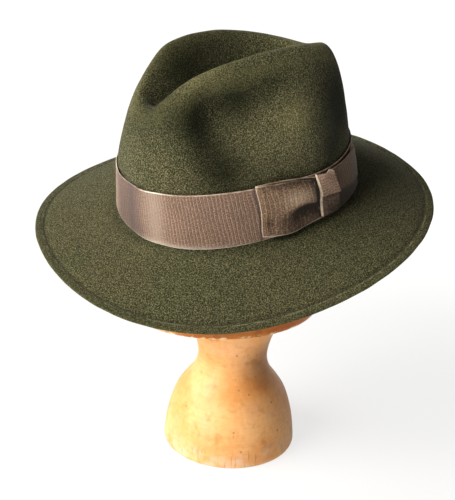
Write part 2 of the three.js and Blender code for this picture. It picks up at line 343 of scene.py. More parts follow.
pitted = None
for degrees, up, wide in FOOT_PITS:
    pit = away_from(foot_point(degrees, up)).rise(wide * MM, wide * PIT_FLOOR * MM)
    pitted = pit if pitted is None else pitted.most(pit)
# Painted shade on the right of the waist, full near its middle
shade_turn, shade_up, shade_reach = WAIST_SHADE_SPOT
from_waist_shade = away_from(foot_point(shade_turn, shade_up))
painted_waist_shade = from_waist_shade.rise(shade_reach * MM, shade_reach * WAIST_SHADE_FULL * MM)
foot_up = foot_wood.parts(foot_wood.place)[2]
scuffs = foot_wood.cloud(0.011, 0.011, 0.009, 4.0).rise(0.36, 0.66)
# On the foot this mark is wear only: the lower edge rubbed pale
rubbed_and_lit = foot_up.rise(RUBBED_FROM * MM, RUBBED_FULL * MM) * scuffs
streaks = foot_wood.cloud(0.0022, 0.0022, 0.016, 2.0).rise(0.60, 0.72)
scratched = streaks * foot_up.rise(SCRATCHED_FROM * MM, SCRATCHED_FULL * MM)
knocked = foot_wood.cloud(0.0035, 0.0035, 0.0045, 2.0).rise(0.70, 0.80)
foot_marks = [
    (rubbed_and_lit, 0.85, "rubbed_and_lit"),
    (scratched, 0.5, "scratched"),
    (knocked, 0.35, "knocked"),
    (painted_waist_shade, 0.6, "painted_waist_shade"),
    (pitted, 0.65, "pitted"),
]
foot_colour = foot_wood.lay(foot_colour, FOOT_TINTS, foot_marks)
foot_rough = foot_wood.cloud(0.02, 0.02, 0.01) * 0.2 + 0.38 + rubbed_and_lit * 0.2
foot_height = foot_lines * 0.2 - pitted * 0.4 - scratched * 0.3
foot_wood.wear(foot_colour, foot_rough, foot_height, VARNISH_RELIEF)
foot_wood.shine({"Specular IOR Level": 0.35, "Coat Weight": 0.08, "Coat Roughness": 0.3})
dress(foot, "stand_foot", foot_wood.material)


# Hat block: an oval block of the same wood that fills the crown's mouth, glued on top of the foot.
# Only its lower edge shows under the brim, and there it is chipped and darker, partly darker varnish
# and partly painted shade of the brim.

BLOCK_ACROSS = 77.3
BLOCK_ALONG = 86.0
BLOCK_CENTRE = (-0.8, -12.3)
BLOCK_BOTTOM = 134.8
BLOCK_TOP = 323.4
# Rows up the block: share of its height, and share of its lower oval
BLOCK_ROWS = [
    (0, 0.6),
    (0, 0.95),
    (0, 0.97),
    (0.006, 0.992),
    (0.02, 1.0),
    (0.3, 0.97),
    (0.5, 0.925),
    (0.66, 0.86),
    (0.78, 0.77),
    (0.88, 0.64),
    (0.95, 0.46),
    (0.99, 0.24),
    (1.0, 0.06),
]
BLOCK_SIDES = 64

# Painted light on the side towards the windows: its direction across and along the block, and from
# how far out that way it starts and is full, in mm
BLOCK_LIT_WAY = (-0.47, -0.88)
BLOCK_LIT_FROM = 30
BLOCK_LIT_FULL = 72
# The heights in mm where the wood turns paler, inside the crown, above the lower edge's painted shade,
# and where the lower edge is chipped
BLOCK_PALE_FROM = 146
BLOCK_PALE_FULL = 172
CHIPPED_FROM = 138.5
CHIPPED_FULL = 135.8

block_height = BLOCK_TOP - BLOCK_BOTTOM
block_base = (BLOCK_CENTRE[0] * MM, BLOCK_CENTRE[1] * MM, BLOCK_BOTTOM * MM)
block_rows = [(BLOCK_BOTTOM + block_height * up, BLOCK_ACROSS * wide) for up, wide in BLOCK_ROWS]
bpy.ops.object.select_all(action="DESELECT")
bpy.ops.mesh.primitive_circle_add(
    vertices=BLOCK_SIDES,
    radius=block_rows[0][1] * MM,
    fill_type="NGON",
    location=block_base,
)
block = start_piece("oval_block")
bpy.ops.transform.resize(value=(1, BLOCK_ALONG / BLOCK_ACROSS, 1), center_override=block_base)
raise_rings(block_rows, BLOCK_CENTRE)
finish_turning(block)

BLOCK_TINTS = {
    "pale": as_seen(208, 128, 44),
    "warm": as_seen(176, 94, 28),
    "rosy": as_seen(200, 122, 52),
    "dark": as_seen(92, 50, 18),
    "inner": as_seen(228, 168, 98),
    "worn_and_lit": as_seen(240, 194, 128),
    "chipped": as_seen(246, 226, 184),
}
block_wood, block_colour, block_lines = wood_finish("block wood", BLOCK_TINTS)
block_left, block_back, block_up = block_wood.parts(block_wood.place)
# Painted light on the block's side towards the windows
block_lit_side = block_left * BLOCK_LIT_WAY[0] + block_back * BLOCK_LIT_WAY[1]
block_layers = [
    (block_up, BLOCK_PALE_FROM * MM, BLOCK_PALE_FULL * MM, 0.65, "inner"),
    (block_lit_side, BLOCK_LIT_FROM * MM, BLOCK_LIT_FULL * MM, 0.75, "worn_and_lit"),
]
block_colour = block_wood.layer(block_colour, BLOCK_TINTS, block_layers)
low_edge = block_up.rise(CHIPPED_FROM * MM, CHIPPED_FULL * MM)
chips = low_edge * block_wood.cloud(0.005, 0.005, 0.003, 3.0).rise(0.50, 0.58)
block_colour = block_wood.blend(chips, block_colour, BLOCK_TINTS["chipped"])
block_wood.wear(block_colour, chips * 0.3 + 0.35, block_lines * 0.3 + chips, VARNISH_RELIEF)
block_wood.shine({"Specular IOR Level": 0.3, "Coat Weight": 0.12, "Coat Roughness": 0.25})
dress(block, "stand_block", block_wood.material)


# Felt hat: one piece of olive wool felt, steamed and blocked into both crown and brim.
# Fingers press the dent in its top and the pinches at its front, and an iron the line inside its edge.
# It is made from the frame's own solid, smoothed, with the felt's small unevenness added.

HAT_PLACE = (
    Matrix.Translation((-1.5 * MM, -3.5 * MM, 238.7 * MM))
    @ Matrix.Rotation(math.radians(12.9), 4, "X")
    @ Matrix.Rotation(math.radians(12.0), 4, "Y")
)
# The pressed line that runs round the brim, and the margin outside it, in mm
PRESS_IN = 7.6
PRESS_WIDE = 1.25
PRESS_DEEP = 0.75
MARGIN_LIFT = 0.5
# How many directions the brim's edge is looked for in, and below which height the brim lies, in mm
EDGE_STEPS = 240
BRIM_BELOW = 2
UNEVEN = 0.22
UNEVEN_SIZE = 13.0
RUB_REACH = 20.0
# The solid's triangles are merged this close, in mm, and joined into quads where they meet this flat
MERGE_WITHIN = 0.01
JOIN_ANGLE = 70
# Soft hollows and fuller parts of the side, in mm: place along and up, length, height, and how deep
SIDE_HOLLOWS = [
    (-35, 72, 17, 19, 4.6),
    (6, 99, 28, 8, 2.2),
    (21, 84, 19, 17, -3.8),
    (52, 66, 10, 16, 1.5),
]
SIDE_FROM = 15
SIDE_EASE = 20
# The crown where it meets the brim, in mm, and the painted shadow on the brim beside the ribbon: how
# dark, how far from the crown and how wide, and below which height
CROWN_ACROSS = 81.2
CROWN_ALONG = 100.0
CROWN_MEAN = 90
RIBBON_CONTACT_SHADOW = (0.45, 3, 5)
RIBBON_SHADOW_BELOW = 6
FELT_RELIEF = 0.0006
# Painted shade on the crown, and painted light where how much is below 0, in mm in the hat's frame:
# place, reach, and how much
FELT_SHADE_AND_LIGHT_MARKS = [
    (35, -52, 92, 20, 0.90),
    (40, -16, 101, 17, 0.95),
    (46, 12, 105, 13, 0.55),
    (-18, -12, 108, 32, 0.60),
    (-15, -36, 105, 22, 0.55),
    (58, -38, 55, 19, 0.90),
    (52, 66, 80, 27, 1.20),
    (6, -78, 98, 22, 0.75),
    (61, 24, 88, 22, -0.60),
    (24, -82, 68, 18, 0.06),
    (62, 10, 50, 16, 0.15),
    (70, 47, 53, 15, 0.70),
]


def to_hat(points):
    """Points in metres in the frame, turned into mm in the hat's own level frame."""
    back = np.array(HAT_PLACE.inverted())
    return (points @ back[:3, :3].T + back[:3, 3]) / MM


def from_hat(points):
    """Points in mm in the hat's level frame, turned into metres in the frame."""
    place = np.array(HAT_PLACE)
    return points * MM @ place[:3, :3].T + place[:3, 3]


def mesh_points(piece):
    points = np.empty(len(piece.data.vertices) * 3)
    piece.data.vertices.foreach_get("co", points)
    return points.reshape(-1, 3)


def mesh_directions(piece):
    """Which way the surface faces at each point."""
    ways = np.empty(len(piece.data.vertices) * 3)
    piece.data.vertices.foreach_get("normal", ways)
    return ways.reshape(-1, 3)


def move_points(piece, points):
    piece.data.vertices.foreach_set("co", points.ravel())
    piece.data.update()


def mark_points(piece, name, values):
    """Keeps a number at each point, for the material to read."""
    kept = piece.data.attributes.new(name, "FLOAT", "POINT")
    kept.data.foreach_set("value", np.asarray(values, dtype=np.float32))


def swell(value, centre, wide):
    """1 at the centre, and falling away softly on both sides."""
    return np.exp(-(((value - centre) / wide) ** 2))


def bulge(shape, value):
    """A soft swelling, given as how much, where, and how wide."""
    much, centre, wide = shape
    return much * swell(value, centre, wide)


felt_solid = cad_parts["felt_body"]
felt = bpy.data.objects.new("felt_hat", felt_solid.data.copy())
bpy.context.scene.collection.objects.link(felt)
bpy.ops.object.select_all(action="DESELECT")
bpy.context.view_layer.objects.active = felt
felt.select_set(True)
bpy.ops.object.mode_set(mode="EDIT")
bpy.ops.mesh.select_all(action="SELECT")
bpy.ops.mesh.remove_doubles(threshold=MERGE_WITHIN * MM)
join_angle = math.radians(JOIN_ANGLE)
bpy.ops.mesh.tris_convert_to_quads(face_threshold=join_angle, shape_threshold=join_angle)
bpy.ops.object.mode_set(mode="OBJECT")

# How far each point stands proud of those round it: proud parts get painted highlights, hollows painted
# shade
coarse = mesh_points(felt) / MM
coarse_out = mesh_directions(felt)
proud = np.zeros(len(coarse))
for index, (point, way) in enumerate(zip(coarse, coarse_out)):
    away = coarse - point
    near = (np.einsum("ij,ij->i", away, away) < RUB_REACH**2) & (coarse_out @ way > 0)
    proud[index] = -(away[near] @ way).mean() / RUB_REACH
mark_points(felt, "proud", proud)
round_off(felt, 2)

felt_points = to_hat(mesh_points(felt))
felt_faces_out = mesh_directions(felt) @ np.array(HAT_PLACE)[:3, :3]
# The brim's outer edge: the furthest point in each direction
felt_turn = np.arctan2(felt_points[:, 0], -felt_points[:, 1])
felt_far = np.hypot(felt_points[:, 0], felt_points[:, 1])
felt_step = ((felt_turn / (2 * np.pi) + 0.5) * EDGE_STEPS).astype(int) % EDGE_STEPS
edge = np.array(
    [felt_points[np.argmax(np.where(felt_step == step, felt_far, 0))] for step in range(EDGE_STEPS)]
)
edge_next = np.roll(edge, -1, axis=0)
edge_run = edge_next - edge
edge_long = (edge_run**2).sum(1)
from_edge = np.full(len(felt_points), np.inf)
on_brim = np.flatnonzero(felt_points[:, 2] < BRIM_BELOW)
for start, run, long in zip(edge, edge_run, edge_long):
    away = felt_points[on_brim] - start
    share = np.clip(away @ run / long, 0, 1)[:, None]
    far = np.linalg.norm(away - share * run, axis=1)
    from_edge[on_brim] = np.minimum(from_edge[on_brim], far)
press = swell(from_edge, PRESS_IN, PRESS_WIDE)
margin = np.clip((PRESS_IN - from_edge) / PRESS_IN, 0, 1)
felt_points[:, 2] += MARGIN_LIFT * margin - PRESS_DEEP * press
for along, up, long, tall, deep in SIDE_HOLLOWS:
    here = ((felt_points[:, 1] - along) / long) ** 2 + ((felt_points[:, 2] - up) / tall) ** 2
    on_side = np.clip((felt_points[:, 0] - SIDE_FROM) / SIDE_EASE, 0, 1)
    felt_points[:, 0] -= deep * np.exp(-here) * on_side
rise = np.array([noise.noise(Vector(point) / UNEVEN_SIZE) for point in felt_points])
felt_points += felt_faces_out * (rise * UNEVEN)[:, None]
move_points(felt, from_hat(felt_points))
mark_points(felt, "press", press)
mark_points(felt, "margin", margin)
# Painted shade in the crown's pinch, dent and hollows and towards its back, and painted light on its
# bulge
felt_shade_and_light = np.zeros(len(felt_points))
for across, along, up, reach, much in FELT_SHADE_AND_LIGHT_MARKS:
    felt_shade_and_light += much * np.exp(-((felt_points - (across, along, up)) ** 2).sum(1) / reach**2)
# Painted shadow on the brim close to the ribbon
from_crown = np.hypot(felt_points[:, 0] / CROWN_ACROSS, felt_points[:, 1] / CROWN_ALONG) - 1
low = np.clip(RIBBON_SHADOW_BELOW - felt_points[:, 2], 0, 1)
mark_points(felt, "felt_shade_and_light", felt_shade_and_light + bulge(RIBBON_CONTACT_SHADOW, from_crown * CROWN_MEAN) * low)

FELT_TINTS = {
    "green": as_seen(61, 63, 39),
    "brown": as_seen(71, 67, 45),
    "mossy": as_seen(52, 56, 33),
    "rubbed_and_lit": as_seen(116, 111, 74),
    "hollow_shade": as_seen(42, 45, 28),
    "light fibres": as_seen(123, 118, 88),
    "dark fibres": as_seen(36, 39, 22),
    "fine fibres": as_seen(137, 131, 100),
    "lint": as_seen(176, 168, 136),
    "painted felt light": as_seen(136, 128, 90),
    "painted felt shade": as_seen(130, 137, 116),
    "press_groove_shade": as_seen(38, 39, 24),
    "margin": as_seen(62, 66, 38),
    "press_highlight": as_seen(160, 154, 124),
}
felt_finish = Finish("olive felt")
press_mark = felt_finish.mark("press")
margin_mark = felt_finish.mark("margin")
felt_shade_and_light_mark = felt_finish.mark("felt_shade_and_light")
proud_mark = felt_finish.mark("proud")
broad = felt_finish.cloud(0.050, 0.050, 0.050, 2.0)
mottle = felt_finish.cloud(0.0080, 0.0080, 0.0080, 3.0)
grain = felt_finish.cloud(0.00105, 0.00105, 0.00105, 3.0)
fine_grain = felt_finish.cloud(0.0008, 0.0008, 0.0008, 1.0)
lint = felt_finish.cloud(0.0019, 0.0019, 0.0019, 1.0)
felt_layers = [
    (broad, 0.35, 0.65, 1.0, "brown"),
    (mottle, 0.38, 0.62, 0.40, "mossy"),
    # Painted highlights on proud parts and painted shade in the hollows
    (proud_mark, 0.12, 0.24, 0.55, "rubbed_and_lit"),
    (proud_mark, 0.00, -0.16, 0.55, "hollow_shade"),
    (grain, 0.48, 0.70, 0.62, "light fibres"),
    (grain, 0.49, 0.32, 0.72, "dark fibres"),
    (fine_grain, 0.50, 0.68, 0.70, "fine fibres"),
    (fine_grain, 0.48, 0.32, 0.66, "dark fibres"),
    (lint, 0.70, 0.78, 0.25, "lint"),
    # Painted light where the shade mark is below 0
    (felt_shade_and_light_mark, 0.0, -1.0, 0.35, "painted felt light"),
]
felt_colour = felt_finish.layer(FELT_TINTS["green"], FELT_TINTS, felt_layers)
# Painted shade on the crown and on the brim beside the ribbon
felt_colour = felt_finish.blend(felt_shade_and_light_mark.most(0.0), felt_colour, FELT_TINTS["painted felt shade"], "MULTIPLY")
# A painted highlight just outside the pressed line, in patches
press_highlight = margin_mark.rise(0.10, 0.22) * margin_mark.rise(0.38, 0.24) * mottle.rise(0.44, 0.60)
felt_marks = [
    # Painted shade in the pressed groove
    (press_mark, 0.35, "press_groove_shade"),
    (margin_mark.rise(0.0, 0.9), 0.24, "margin"),
    (press_highlight, 0.30, "press_highlight"),
]
felt_colour = felt_finish.lay(felt_colour, FELT_TINTS, felt_marks)
felt_finish.wear(felt_colour, grain * 0.1 + 0.88, grain * 0.6 + mottle * 0.4, FELT_RELIEF)
felt_finish.shine({"Sheen Weight": 0.06, "Sheen Roughness": 0.6, "Specular IOR Level": 0.15})
dress(felt, "felt_body", felt_finish.material)


# Ribbon: ribbed grosgrain, woven in one long strip with a firm pale selvedge along each edge.
# It is drawn round the crown just above the brim, and its two ends meet under the bow's knot.
# It is sewn only there, so it stands off the felt in soft upright folds at the front.

# The crown's wall runs up from the first oval to the second, in mm
HEAD_OVAL = {
    "along": CROWN_ALONG,
    "across": CROWN_ACROSS,
    "square": 2.27,
    "egg": 0.01,
    "back": 0,
    "left": 0,
}
BAND_OVAL = {"along": 93.3, "across": 71.5, "square": 2.38, "egg": 0.15, "back": -3.4, "left": 2.6}
BAND_UP = 44.2
# A small step round the wall, in radians, which gives its direction
WALL_STEP = 0.01
RIBBON_LOW = 0.7
RIBBON_HIGH = 44.0
RIBBON_OUT = 1.0
RIBBON_THICK = 0.7
# The bow's stitches pull the ribbon's upper edge down: how far in mm, and where and how wide in degrees
DIP = (3.6, 112, 26)
# The ribs, in mm but for their number: how far apart and how deep they are, and how far and in what
# patches they sway
RIB = 1.41
RIB_DEEP = 0.2
RIB_SWAY = 0.5
RIB_SWAY_LONG = 9
RIB_SWAY_TALL = 16
RIBS_ROUND = 400
RIB_COLUMNS = 4
RIBBON_ROWS = 16
RIBBON_CROWD = 0.6
# Every second rib is lower by this part of its height
RIB_LOWER = 0.35
# The selvedge has no ribs but a bead along it: how proud, how far in, and how wide, in mm
SELVEDGE = 0.9
SELVEDGE_EASE = 0.5
BEAD = (0.18, 0.45, 0.4)
# Where the ribbon's two ends meet, in degrees from the front over the wearer's left
RIBBON_SEAM = 111
# Soft upright folds: how proud in mm, then in degrees the place low down, the lean, and the width
FOLDS = [
    (0.9, -2.5, 1.0, 7.0),
    (1.3, 19.0, 2.0, 7.0),
    (0.5, 45.0, 2.0, 9.0),
]
# The folds are weaker at the ribbon's lower edge and full from this part of its width
FOLD_LOW = 0.3
FOLD_FULL = 0.35
# A painted sheen highlight on a fold and painted shade in a crease, given as the folds are
PAINTED_SHEEN = (0.30, 27.0, 1.5, 6.5)
CREASE_SHADE = (0.22, 8.0, 2.0, 3.2)
# Painted light on the lower edge: how much, its degrees and width, and its height and tallness as parts
# of the ribbon's width
LOW_EDGE_LIGHT = (0.55, 36, 28, 0.0, 0.06)
# The painted shadow line beside the bow's round fold: height, degrees
BESIDE_BOW = [(4.9, 79.9), (13.1, 80.7), (19.9, 81.3), (30.9, 81.5), (39.8, 81.3), (45.5, 81.5)]
BOW_SHADOW_DARK = 0.85
BOW_SHADOW_WIDE = 0.4
# How far the woven cords sway, in metres, and how strongly they, the gaps between them, the pale worn
# places with the painted highlights, and the painted shade show
CORD_SWAY = 0.0024
CORDS_SHOW = 0.95
GAPS_SHOW = 0.50
WORN_AND_LIT_SHOWS = 0.9
PAINTED_SHADE_SHOWS = 0.9
WEFT_RELIEF = 0.00012


def oval(shape, turn):
    """A point of an oval, seen from above. Turn runs from the front over the wearer's left."""
    c, s = np.cos(turn), np.sin(turn)
    power = 2 / shape["square"]
    across = shape["across"] * np.sign(s) * np.abs(s) ** power * (1 - shape["egg"] * c)
    along = -shape["along"] * np.sign(c) * np.abs(c) ** power
    return np.stack([across + shape["left"], along + shape["back"]], axis=-1)


def on_wall(turn, up, out):
    """Points of the crown's straight lower wall, moved out from the felt. All in mm and radians."""

    def flat(at):
        low, high = oval(HEAD_OVAL, at), oval(BAND_OVAL, at)
        share = (up / BAND_UP)[..., None]
        return between(low, high, share), high - low

    here, rise = flat(turn)
    ahead, _ = flat(turn + WALL_STEP)
    zero = np.zeros_like(up)
    along = np.stack([*np.moveaxis(ahead - here, -1, 0), zero], axis=-1)
    climb = np.stack([*np.moveaxis(rise, -1, 0), zero + BAND_UP], axis=-1)
    outward = np.cross(along, climb)
    outward /= np.linalg.norm(outward, axis=-1, keepdims=True)
    point = np.stack([*np.moveaxis(here, -1, 0), up], axis=-1)
    return point + outward * out[..., None]


def cloth_grid(name, columns, rows):
    """A flat grid to be wrapped, and the share of each of its points along and across it."""
    bpy.ops.object.select_all(action="DESELECT")
    bpy.ops.mesh.primitive_grid_add(x_subdivisions=columns, y_subdivisions=rows, size=1)
    cloth = bpy.context.object
    cloth.name = cloth.data.name = name
    flat = mesh_points(cloth)
    return cloth, flat[:, 0] + 0.5, flat[:, 1] + 0.5


def wrap_cloth(cloth, points, run, across, thick, worn_and_lit, painted_shade):
    """Lays the grid along its points, keeps the cloth's own run and width as its map, and thickens it.
    Pale worn places with painted highlights, and painted shade, are marked for the material."""
    move_points(cloth, from_hat(points))
    mark_points(cloth, "worn_and_lit", np.clip(worn_and_lit, 0, 1))
    mark_points(cloth, "painted_shade", np.clip(painted_shade, 0, 1))
    loops = np.empty(len(cloth.data.loops), dtype=np.int32)
    cloth.data.loops.foreach_get("vertex_index", loops)
    woven = cloth.data.uv_layers.active
    woven.name = "woven"
    woven.data.foreach_set("uv", np.stack([run[loops], across[loops]], axis=-1).ravel() * MM)
    wall = cloth.modifiers.new("thickness", "SOLIDIFY")
    wall.thickness = thick * MM
    wall.offset = -1
    bpy.ops.object.modifier_apply(modifier=wall.name)
    bpy.ops.object.shade_smooth()


def crowd(share, much):
    """Draws the rows or columns of a grid together towards both its edges."""
    return (1 - much) * share + much * (0.5 - 0.5 * np.cos(np.pi * share))


def uneven(across, up, sheet):
    """Soft unevenness, from about -1 to 1, at these places of one sheet of it."""
    return np.array([noise.noise(Vector((a, u, sheet))) for a, u in zip(across, up)])


def rib_height(run, up, wide):
    """How far the round cords stand up, every second one lower, and the bead along each selvedge."""
    sway = uneven(run / RIB_SWAY_LONG, up / RIB_SWAY_TALL, wide)
    phase = (run + sway * RIB_SWAY) / RIB
    cord = np.abs(np.sin(np.pi * phase)) * RIB_DEEP
    lower = 0.5 - 0.5 * np.cos(np.pi * (phase - 0.5))
    inner = np.minimum(up, wide - up)
    woven = np.clip((inner - SELVEDGE) / SELVEDGE_EASE, 0, 1)
    return cord * (1 - RIB_LOWER * lower) * woven + bulge(BEAD, inner)


def along_line(line, value):
    """The height, or width, of a line of points where it passes value."""
    return np.interp(value, [point[0] for point in line], [point[1] for point in line])


def ease(value, start, end):
    """0 before start and 1 after end, or the other way round, with soft ends."""
    share = np.clip((value - start) / (end - start), 0, 1)
    return share * share * (3 - 2 * share)


def between(low, high, share):
    """The value at this share of the way from low to high."""
    return low + (high - low) * share


def soft_marks(rows):
    """The sum of soft marks. A row has how much the mark is, and then each value that it follows,
    with where on that value it starts and where it is full."""
    total = 0
    for much, *follows in rows:
        for value, start, full in follows:
            much = much * ease(value, start, full)
        total = total + much
    return total


def soft_patch(place, degrees, up):
    """A soft patch of the wall: how much, its degrees and width, and its height and tallness."""
    much, turn, wide, height, tall = place
    return much * swell(degrees, turn, wide) * swell(up, height, tall)


ribbon, ribbon_u, ribbon_v = cloth_grid("ribbon_strip", RIBS_ROUND * RIB_COLUMNS, RIBBON_ROWS)
ribbon_v = crowd(ribbon_v, RIBBON_CROWD)
ribbon_turn = np.radians(RIBBON_SEAM + 360 * ribbon_u)
# Degrees run from -90 to 270, so the front is one stretch
ribbon_degrees = np.degrees(ribbon_turn) % 360
ribbon_degrees = np.where(ribbon_degrees > 270, ribbon_degrees - 360, ribbon_degrees)
ribbon_up = between(RIBBON_LOW, RIBBON_HIGH - bulge(DIP, ribbon_degrees), ribbon_v)
ribbon_wide = RIBBON_HIGH - RIBBON_LOW
ribbon_run = ribbon_u * RIBS_ROUND * RIB


def upright(much, place, lean, wide):
    """A soft upright patch of the ribbon, which leans by some degrees on its way up."""
    return much * swell(ribbon_degrees, place + lean * ribbon_v, wide)


fold_strength = between(FOLD_LOW, 1, ease(ribbon_v, 0.0, FOLD_FULL))
ribbon_out = RIBBON_OUT + rib_height(ribbon_run, ribbon_v * ribbon_wide, ribbon_wide)
for fold in FOLDS:
    ribbon_out += upright(*fold) * fold_strength
# Painted light at the far left, and painted shade in the valley beside the fold's painted sheen,
# each with its left and right side
far_left_light = (0.20, (ribbon_degrees, -80, -50), (ribbon_degrees, 3, -14))
valley_shade = (0.47, (ribbon_degrees, -13, -2), (ribbon_degrees, 22 + 1.5 * ribbon_v, 14))
bow_line = along_line(BESIDE_BOW, ribbon_up)
bow_fold_shadow = BOW_SHADOW_DARK * swell(ribbon_degrees, bow_line, BOW_SHADOW_WIDE)
wrap_cloth(
    ribbon,
    on_wall(ribbon_turn, ribbon_up, ribbon_out),
    ribbon_run,
    ribbon_v * ribbon_wide,
    RIBBON_THICK,
    upright(*PAINTED_SHEEN) + soft_marks([far_left_light]) + soft_patch(LOW_EDGE_LIGHT, ribbon_degrees, ribbon_v),
    upright(*CREASE_SHADE) + soft_marks([valley_shade]) + bow_fold_shadow,
)


def ribbon_finish(name, wide, tints):
    """Brown grosgrain: cords of two shades side by side, fine weft across them, pale firm selvedges."""
    cloth = Finish(name)
    woven = cloth.add("ShaderNodeUVMap", {"uv_map": "woven"}, {})
    run, across, _ = cloth.parts(woven)
    sway = cloth.cloud(0.009, 0.016, 1.0, 1.0, woven) - 0.5
    phase = (run + sway * CORD_SWAY) * (1 / (RIB * MM))
    cords = (phase * math.pi).wave()
    gaps = 1 - cords * cords
    pairs = ((phase - 0.5) * math.pi).maths("COSINE") * 0.5 + 0.5
    inner = across.least(across * -1 + wide * MM)
    edge = inner.rise(0.0010, 0.0004)
    shade = cloth.cloud(0.020, 0.030, 1.0, 2.0, woven)
    flecks = cloth.cloud(0.0016, 0.0028, 1.0, 2.0, woven)
    threads = cloth.cloud(0.0007, 0.0011, 1.0, 1.0, woven)
    weft = cloth.cloud(0.0012, 0.00035, 1.0, 1.0, woven)
    colour = cloth.layer(tints["deep"], tints, [(shade, 0.35, 0.65, 1.0, "light")])
    ribbed = 1 - edge
    ribs = [(pairs * ribbed, CORDS_SHOW, "cord"), (gaps * ribbed, GAPS_SHOW, "gap")]
    colour = cloth.lay(colour, tints, ribs)
    layers = [
        (flecks, 0.60, 0.72, 0.35, "fleck"),
        (threads, 0.50, 0.32, 0.50, "gap"),
        (threads, 0.50, 0.68, 0.36, "fleck"),
    ]
    colour = cloth.layer(colour, tints, layers)
    # Painted highlights and painted shade from the marks kept on the mesh, laid over the pale selvedges
    worn_and_lit = cloth.mark("worn_and_lit")
    patches = cloth.cloud(0.006, 0.006, 1.0, 2.0, woven).rise(0.38, 0.60)
    marks = [
        ((edge * (patches * 0.45 + 0.05 + worn_and_lit)).least(1.0), 1.0, "edge"),
        (worn_and_lit, WORN_AND_LIT_SHOWS, "edge"),
        ((edge * worn_and_lit * 1.8).least(1.0), 1.0, "rubbed_and_lit"),
        (cloth.mark("painted_shade"), PAINTED_SHADE_SHOWS, "tuck"),
    ]
    colour = cloth.lay(colour, tints, marks)
    cloth.wear(colour, weft * 0.15 + 0.58, weft, WEFT_RELIEF)
    cloth.shine({"Sheen Weight": 0.12, "Sheen Roughness": 0.45, "Specular IOR Level": 0.25})
    return cloth


# The tuck tint is painted shade, and the palest tint a painted highlight
RIBBON_TINTS = {
    "deep": as_seen(146, 124, 105),
    "light": as_seen(164, 139, 120),
    "cord": as_seen(132, 98, 82),
    "gap": as_seen(78, 64, 54),
    "fleck": as_seen(198, 176, 152),
    "edge": as_seen(218, 198, 182),
    "rubbed_and_lit": as_seen(254, 242, 232),
    "tuck": as_seen(74, 68, 74),
}
ribbon_cloth = ribbon_finish("ribbon cloth", ribbon_wide, RIBBON_TINTS)
dress(ribbon, "ribbon_band", ribbon_cloth.material)


# Bow loop: a length of the same ribbon, folded back on itself and sewn flat on the ribbon by the knot.
# Its left end is the soft round fold, and the stitches draw a deep crease from the knot into its face.

BOW_OUT = 2.0
BOW_THICK = 0.6
LOOP_ROWS = 44
LOOP_TURN_COLUMNS = 8
LOOP_BACK_COLUMNS = 30
LOOP_FACE_COLUMNS = 150
# The cloth's width, the length of its back and of its face, its height at the left, and the length of
# its round fold, in mm
LOOP_WIDE = 43.0
LOOP_LONG = 43
LOOP_TALL = 45
LOOP_TURN_LONG = 2.4
# The round fold at the loop's left end: half its thickness in mm, and how many degrees round it reaches
LOOP_ROUND = 0.6
LOOP_REACH = 0.35
# The loop's outline on the wall. A side is given as heights with their degrees, or as one number of
# degrees, and a lower or upper edge as degrees with their heights.
LOOP_LEFT = [(4.9, 80.4), (13.1, 81.2), (19.9, 81.8), (30.9, 82.0), (39.8, 81.8), (45.5, 82.0)]
LOOP_RIGHT = 107.5
LOOP_LOW = [
    (80.3, 4.4),
    (83.0, 3.4),
    (86.0, 2.5),
    (89.0, 1.8),
    (92.0, 1.5),
    (95.0, 1.7),
    (98.0, 2.4),
    (101.0, 3.3),
    (104.0, 4.1),
    (107.5, 4.6),
]
LOOP_HIGH = [(82.0, 45.4), (87.3, 45.4), (91.9, 44.2), (99.2, 41.8), (105.4, 39.0), (107.5, 38.5)]
# How much lower the face's upper edge is than the back's: degrees, mm
LOOP_SLIP = [(82.0, 0.0), (84.0, 0.2), (90.0, 0.4), (96.0, 0.7), (103.0, 1.2), (107.5, 1.3)]
# The parts of the face's length over which the slip and the fullness come in
SLIP_FULL = 0.08
PUFF_FULL = 0.07
# The loop's ribs are flatter than the ribbon's, as its cloth is drawn tight
LOOP_RIBS = 0.6
LOOP_RIB_START = 200
# Where the deep crease runs: degrees, height. It deepens between two degrees, and its upper side rises
# between two heights above that line.
CREASE_LINE = [(89.0, 14.0), (92.0, 17.0), (95.0, 19.0), (98.8, 19.6), (103.2, 17.6), (107.5, 16.4)]
CREASE_DEEPENS = (88.0, 96.0)
CREASE_SIDE = (-0.6, 4.2)
# Above the crease, in mm: how proud at the left, and how much more at the right, between which degrees
LOOP_PROUD = 1.2
LOOP_FILLS = (4.4, 82.5, 99.5)
# How far the full part falls back at its top and over what height, and how proud, how far above the
# crease and how wide its swelling is
LOOP_TOP_FALLS = 3.6
LOOP_TOP_TALL = 9
SWELLING = (0.7, 6.5, 3.0)
# Below the crease: how proud at least, and how proud, how high and how wide its own low swelling is
LOOP_LEAST = 0.2
LIP = (1.1, 7, 5)
# The knot's stitches draw the loop flat between two degrees. Low down, the first lies this much further
# right, between these heights.
DRAWN = 0.95
DRAWN_FROM = 101.0
DRAWN_FULL = 105.0
DRAWN_LEANS = (1.8, 22, 14)
# Soft patches of the face: how much, degrees and width, height and tallness. The second is the dent's
# painted shade, and the third a painted highlight where the face is lit.
DENT = (1.9, 84.6, 1.9, 14, 4.5)
DENT_SHADE = (0.4, 84.8, 1.8, 13, 5)
FACE_LIT = (0.28, 95, 5.5, 29, 6)
# The bow's stitches show as two pale specks beside the knot, and one at the top of its round fold
STITCHES = [
    (1, 103.9, 0.35, 34.5, 1.9),
    (1, 104.6, 0.35, 12.0, 1.9),
    (1, 82.3, 0.35, 44.6, 1.9),
]
# The crease has painted shade along a line this far above its own, and this far up and down from there,
# in mm
CREASE_DARK_ABOVE = 1
CREASE_DARK_UP = 3.0
CREASE_DARK_DOWN = 8.0
CREASE_DARKENS = (89.0, 95.0)
